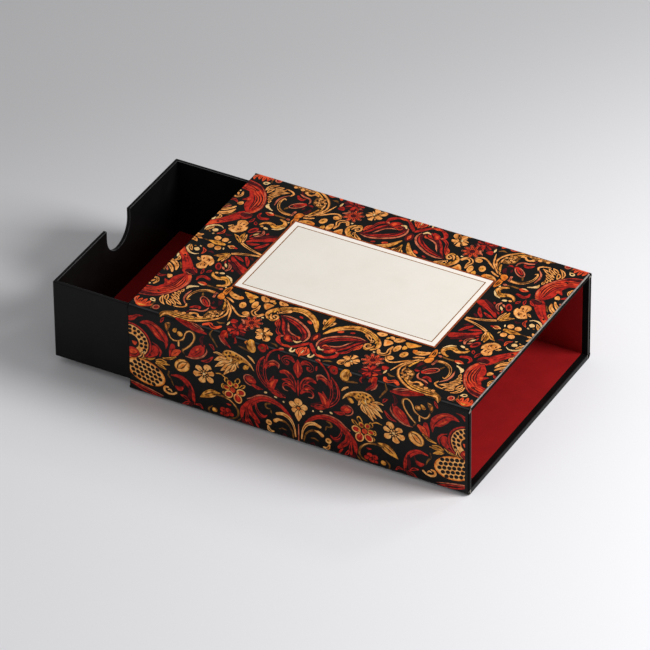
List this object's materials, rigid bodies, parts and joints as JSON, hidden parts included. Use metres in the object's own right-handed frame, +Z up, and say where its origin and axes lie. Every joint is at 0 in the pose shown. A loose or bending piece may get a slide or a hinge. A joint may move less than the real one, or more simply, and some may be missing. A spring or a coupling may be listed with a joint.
{
  "type": "paper box",
  "caption": "Rigid paper-covered drawer box: a printed sleeve, open at both ends, holds a black tray with a thumb notch that slides out.",
  "frame": {"origin": "centre of the sleeve's underside, on the surface the box stands on", "axes": "+X along the slide towards the sleeve's free mouth, +Z up; the tray pulls out towards -X"},
  "size_m": [0.203, 0.114, 0.0454],
  "materials": {
    "greyboard": "matte",
    "printed_paper": "satin",
    "black_paper": "matte",
    "red_paper": "matte",
    "cream_paper": "matte",
    "stay_paper": "matte"
  },
  "bodies": {
    "sleeve": {"sleeve_bottom_board": "greyboard", "sleeve_front_board": "greyboard", "sleeve_back_board": "greyboard", "sleeve_top_board": "greyboard", "sleeve_wrap": "printed_paper", "sleeve_base_paper": "black_paper", "sleeve_lining": "red_paper", "title_label": "cream_paper"},
    "tray": {"tray_bottom_board": "greyboard", "tray_pull_end_board": "greyboard", "tray_rear_end_board": "greyboard", "tray_front_side_board": "greyboard", "tray_back_side_board": "greyboard", "tray_wrap": "black_paper", "tray_floor_lining": "red_paper", "tray_corner_stay_pull_front": "stay_paper", "tray_corner_stay_pull_back": "stay_paper", "tray_corner_stay_rear_front": "stay_paper", "tray_corner_stay_rear_back": "stay_paper"}
  },
  "joints": [
    {"name": "tray_slide", "type": "slide", "parent": "sleeve", "child": "tray", "axis": [1, 0, 0], "range_m": [-0.13, 0.039]}
  ]
}
